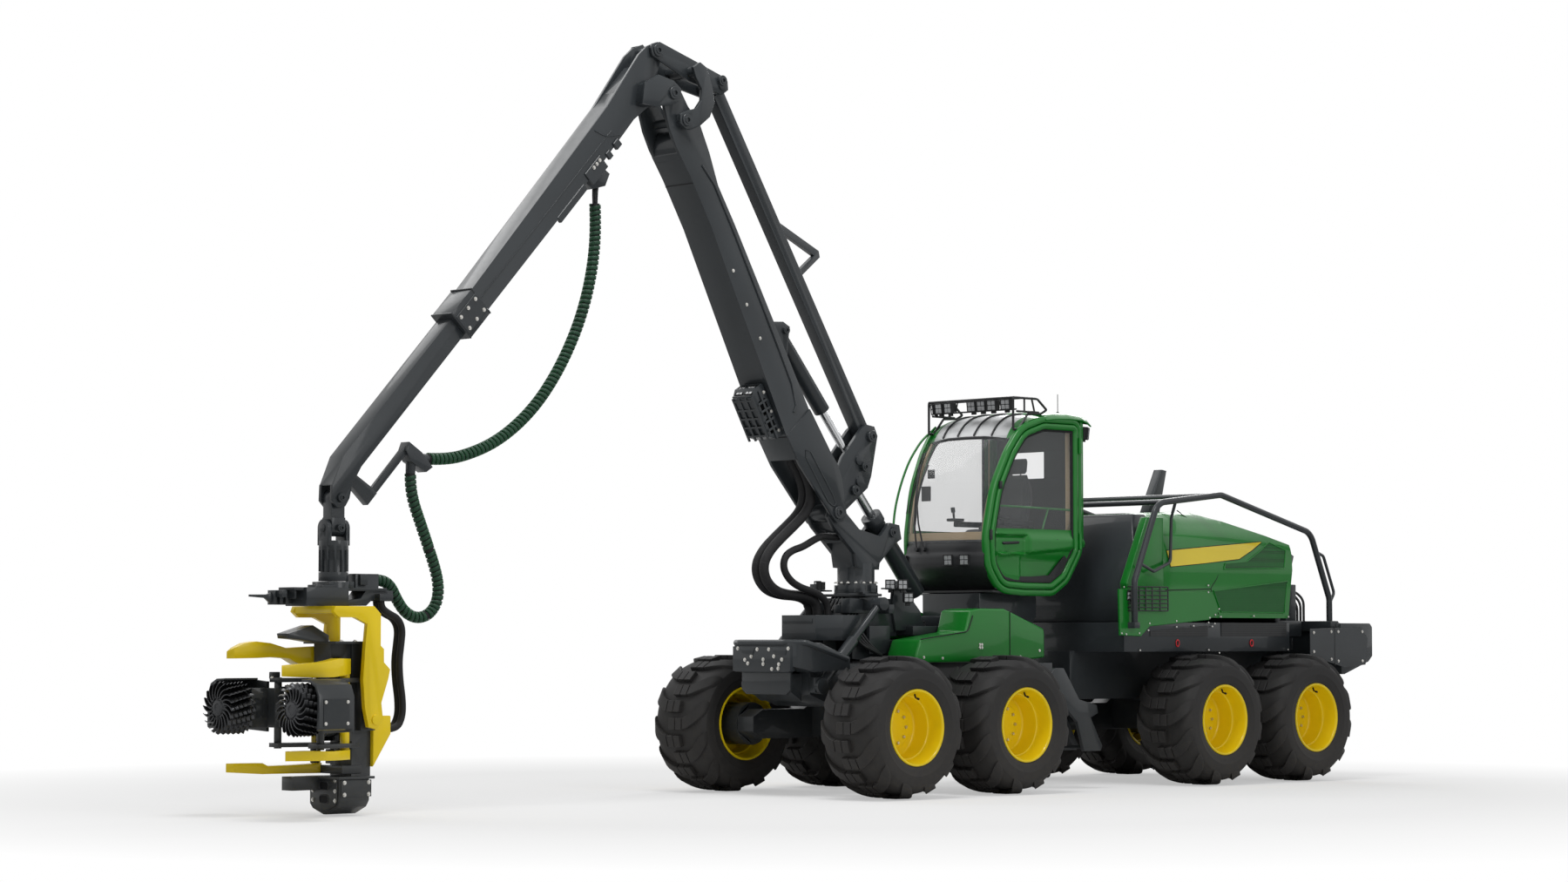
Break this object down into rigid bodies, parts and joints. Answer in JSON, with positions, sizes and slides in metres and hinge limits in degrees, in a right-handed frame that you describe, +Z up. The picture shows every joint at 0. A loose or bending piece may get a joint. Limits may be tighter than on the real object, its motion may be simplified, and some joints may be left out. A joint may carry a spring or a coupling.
{
  "type": "eight-wheel forestry harvester",
  "caption": "Articulated forestry harvester: wheels on bogies, cab, rear engine body, folding parallel crane with telescope, and a tilting harvester head.",
  "frame": {"origin": "on the ground, midway along the machine with its crane as shown, on its centre plane", "axes": "+X forward, +Y to the machine's left, +Z up"},
  "size_m": [13.5853, 3, 6.9392],
  "materials": {
    "graphite_paint": "satin charcoal grey paint",
    "green_paint": "glossy bright green paint",
    "yellow_paint": "glossy yellow paint",
    "tyre_rubber": "matt tyre rubber",
    "cab_window": "clear polycarbonate",
    "chrome_rod": "polished chrome",
    "seat_fabric": "dark woven fabric",
    "hose_rubber": "matt black rubber",
    "cast_block": "painted casting",
    "bare_steel": "dark worn steel"
  },
  "bodies": {
    "front_chassis": {"front_frame": "graphite_paint", "front_bumper": "graphite_paint", "front_hood": "green_paint", "front_bogie": "graphite_paint", "slew_base": "graphite_paint", "tilt_cylinders": "graphite_paint", "cab_mount": "graphite_paint", "cab_shell": "graphite_paint", "cab_glass": "cab_window", "seat": "seat_fabric", "steps": "graphite_paint", "crane_hoses": "hose_rubber"},
    "rear_chassis": {"rear_frame": "graphite_paint", "rear_bogie": "graphite_paint", "hood": "green_paint", "hood_bezels": "green_paint", "shroud": "graphite_paint", "end_cover": "graphite_paint", "engine": "cast_block", "stack": "graphite_paint", "guard_rails": "graphite_paint", "tail_box": "graphite_paint"},
    "cab_door": {"door": "green_paint", "door_glass": "cab_window"},
    "crane_pillar": {"pillar": "graphite_paint"},
    "lift_cylinder": {"lift_barrel": "graphite_paint"},
    "lift_piston": {"lift_rod": "chrome_rod"},
    "crane_rocker": {"rocker": "graphite_paint"},
    "boom": {"main_boom": "graphite_paint"},
    "long_bar": {"parallel_bar": "graphite_paint"},
    "jib_cylinder": {"jib_cylinder_barrel": "graphite_paint"},
    "jib_piston": {"jib_cylinder_rod": "chrome_rod"},
    "jib": {"jib_arm": "graphite_paint", "jib_hose": "hose_rubber"},
    "crank": {"bell_crank": "graphite_paint"},
    "link": {"curved_link": "graphite_paint"},
    "telescope": {"extension": "graphite_paint", "head_hose": "hose_rubber"},
    "hanger": {"tip_link": "graphite_paint"},
    "rotator_unit": {"rotator": "graphite_paint"},
    "head_hanger": {"head_top": "graphite_paint", "tilt_frame": "yellow_paint", "head_side_hoses": "hose_rubber"},
    "head": {"head_frame": "graphite_paint", "head_foot": "yellow_paint"},
    "knife_pair_left": {"knives_left": "yellow_paint"},
    "knife_pair_right": {"knives_right": "yellow_paint"},
    "arm_left": {"roller_arm_left": "graphite_paint"},
    "arm_right": {"roller_arm_right": "graphite_paint"},
    "roller_left": {"feed_roller_left": "bare_steel"},
    "roller_right": {"feed_roller_right": "bare_steel"},
    "wheel_1_left_body": {"wheel_1_left": "tyre_rubber"},
    "wheel_1_right_body": {"wheel_1_right": "tyre_rubber"},
    "wheel_2_left_body": {"wheel_2_left": "tyre_rubber"},
    "wheel_2_right_body": {"wheel_2_right": "tyre_rubber"},
    "wheel_3_left_body": {"wheel_3_left": "tyre_rubber"},
    "wheel_3_right_body": {"wheel_3_right": "tyre_rubber"},
    "wheel_4_left_body": {"wheel_4_left": "tyre_rubber"},
    "wheel_4_right_body": {"wheel_4_right": "tyre_rubber"}
  },
  "joints": [
    {"name": "wheel_1_left_turn", "type": "hinge", "parent": "front_chassis", "child": "wheel_1_left_body", "pos_m": [0.4573, 1.145, 0.66], "axis": [0, 1, 0], "continuous": true},
    {"name": "wheel_1_right_turn", "type": "hinge", "parent": "front_chassis", "child": "wheel_1_right_body", "pos_m": [0.4573, -1.145, 0.66], "axis": [0, 1, 0], "continuous": true},
    {"name": "wheel_2_left_turn", "type": "hinge", "parent": "front_chassis", "child": "wheel_2_left_body", "pos_m": [-1.0427, 1.145, 0.66], "axis": [0, 1, 0], "continuous": true},
    {"name": "wheel_2_right_turn", "type": "hinge", "parent": "front_chassis", "child": "wheel_2_right_body", "pos_m": [-1.0427, -1.145, 0.66], "axis": [0, 1, 0], "continuous": true},
    {"name": "wheel_3_left_turn", "type": "hinge", "parent": "rear_chassis", "child": "wheel_3_left_body", "pos_m": [-4.0127, 1.145, 0.66], "axis": [0, 1, 0], "continuous": true},
    {"name": "wheel_3_right_turn", "type": "hinge", "parent": "rear_chassis", "child": "wheel_3_right_body", "pos_m": [-4.0127, -1.145, 0.66], "axis": [0, 1, 0], "continuous": true},
    {"name": "wheel_4_left_turn", "type": "hinge", "parent": "rear_chassis", "child": "wheel_4_left_body", "pos_m": [-5.5127, 1.145, 0.66], "axis": [0, 1, 0], "continuous": true},
    {"name": "wheel_4_right_turn", "type": "hinge", "parent": "rear_chassis", "child": "wheel_4_right_body", "pos_m": [-5.5127, -1.145, 0.66], "axis": [0, 1, 0], "continuous": true},
    {"name": "articulated_steering", "type": "hinge", "parent": "front_chassis", "child": "rear_chassis", "pos_m": [-2.4927, 0, 1.04], "axis": [0, 0, 1], "range_deg": [-40, 40]},
    {"name": "door_swing", "type": "hinge", "parent": "front_chassis", "child": "cab_door", "pos_m": [-2.7677, 0.642, 2.9], "axis": [0, 0, 1], "range_deg": [0, 85]},
    {"name": "crane_slew", "type": "hinge", "parent": "front_chassis", "child": "crane_pillar", "pos_m": [-0.2227, 0, 1.9], "axis": [0, 0, 1], "range_deg": [-110, 110], "deforming": ["crane_hoses"]},
    {"name": "crane_lift", "type": "hinge", "parent": "crane_pillar", "child": "crane_rocker", "pos_m": [0.2143, 0, 2.676], "axis": [0, 1, 0], "range_deg": [-15, 40]},
    {"name": "crane_reach", "type": "hinge", "parent": "crane_rocker", "child": "boom", "pos_m": [0.2143, 0, 2.676], "axis": [0, -1, 0], "range_deg": [-21.5, 15.2]},
    {"name": "jib_fold", "type": "hinge", "parent": "boom", "child": "jib", "pos_m": [2.35022, 0, 6.46665], "axis": [0, -1, 0], "range_deg": [-31.53, 44.39]},
    {"name": "bar_hinge", "type": "hinge", "parent": "crane_rocker", "child": "long_bar", "pos_m": [-0.3117, 0, 3.427], "axis": [0, -1, 0], "range_deg": [-23.42, 16.7]},
    {"name": "crank_hinge", "type": "hinge", "parent": "jib", "child": "crank", "pos_m": [2.48397, 0, 6.85354], "axis": [0, -1, 0], "range_deg": [-21.16, 15.11]},
    {"name": "link_hinge", "type": "hinge", "parent": "boom", "child": "link", "pos_m": [2.23124, 0, 6.22493], "axis": [0, -1, 0], "range_deg": [-21.25, 29.84]},
    {"name": "jib_cylinder_hinge", "type": "hinge", "parent": "boom", "child": "jib_cylinder", "pos_m": [0.84527, 0, 4.38655], "axis": [0, -1, 0], "range_deg": [-2.11, 1.64]},
    {"name": "jib_rod_slide", "type": "slide", "parent": "jib_cylinder", "child": "jib_piston", "axis": [-0.641, 0, -0.7676], "range_m": [-0.1732, 0.2408]},
    {"name": "lift_cylinder_hinge", "type": "hinge", "parent": "crane_pillar", "child": "lift_cylinder", "pos_m": [-0.5647, 0, 2.502], "axis": [0, -1, 0], "range_deg": [-5.66, 2.44]},
    {"name": "lift_rod_slide", "type": "slide", "parent": "lift_cylinder", "child": "lift_piston", "axis": [0.6448, 0, 0.7643], "range_m": [-0.1314, 0.3337]},
    {"name": "telescope_slide", "type": "slide", "parent": "jib", "child": "telescope", "axis": [-0.6794, 0, 0.7337], "range_m": [-1.1, 1.1], "deforming": ["jib_hose"]},
    {"name": "tip_swing", "type": "hinge", "parent": "telescope", "child": "hanger", "pos_m": [5.98765, 0, 2.65928], "axis": [0, -1, 0], "range_deg": [-45, 60], "deforming": ["head_hose"]},
    {"name": "side_swing", "type": "hinge", "parent": "hanger", "child": "rotator_unit", "pos_m": [5.98765, 0, 2.40428], "axis": [1, 0, 0], "range_deg": [-30, 30]},
    {"name": "rotator_turn", "type": "hinge", "parent": "rotator_unit", "child": "head_hanger", "pos_m": [5.98765, 0, 1.95928], "axis": [0, 0, 1], "range_deg": [-170, 170]},
    {"name": "head_tilt", "type": "hinge", "parent": "head_hanger", "child": "head", "pos_m": [5.76765, 0, 0.8], "axis": [0, 1, 0], "range_deg": [0, 90], "deforming": ["head_side_hoses"]},
    {"name": "knives_left_close", "type": "hinge", "parent": "head", "child": "knife_pair_left", "pos_m": [6.00765, 0.2, 0.9], "axis": [0, 0, -1], "range_deg": [0, 40]},
    {"name": "knives_right_close", "type": "hinge", "parent": "head", "child": "knife_pair_right", "pos_m": [6.00765, -0.2, 0.9], "axis": [0, 0, 1], "range_deg": [0, 40]},
    {"name": "arm_left_close", "type": "hinge", "parent": "head", "child": "arm_left", "pos_m": [6.32765, 0.3, 0.9], "axis": [0, 0, -1], "range_deg": [0, 39]},
    {"name": "arm_right_close", "type": "hinge", "parent": "head", "child": "arm_right", "pos_m": [6.32765, -0.3, 0.9], "axis": [0, 0, 1], "range_deg": [0, 39]},
    {"name": "roller_left_turn", "type": "hinge", "parent": "arm_left", "child": "roller_left", "pos_m": [6.66765, 0.52, 0.9], "axis": [1, 0, 0], "continuous": true},
    {"name": "roller_right_turn", "type": "hinge", "parent": "arm_right", "child": "roller_right", "pos_m": [6.66765, -0.52, 0.9], "axis": [1, 0, 0], "continuous": true}
  ],
  "couplings": [
    {"joint": "jib_fold", "follows": "crane_reach", "ratio": -2.0414},
    {"joint": "bar_hinge", "follows": "crane_reach", "ratio": 1.066},
    {"joint": "crank_hinge", "follows": "crane_reach", "ratio": 0.961},
    {"joint": "link_hinge", "follows": "crane_reach", "ratio": -1.3648},
    {"joint": "jib_cylinder_hinge", "follows": "crane_reach", "ratio": 0.0748},
    {"joint": "jib_rod_slide", "follows": "crane_reach", "m_per_rad": -0.615},
    {"joint": "lift_cylinder_hinge", "follows": "crane_lift", "ratio": -0.129},
    {"joint": "lift_rod_slide", "follows": "crane_lift", "m_per_rad": 0.4636},
    {"joint": "arm_right_close", "follows": "arm_left_close", "ratio": 1}
  ]
}
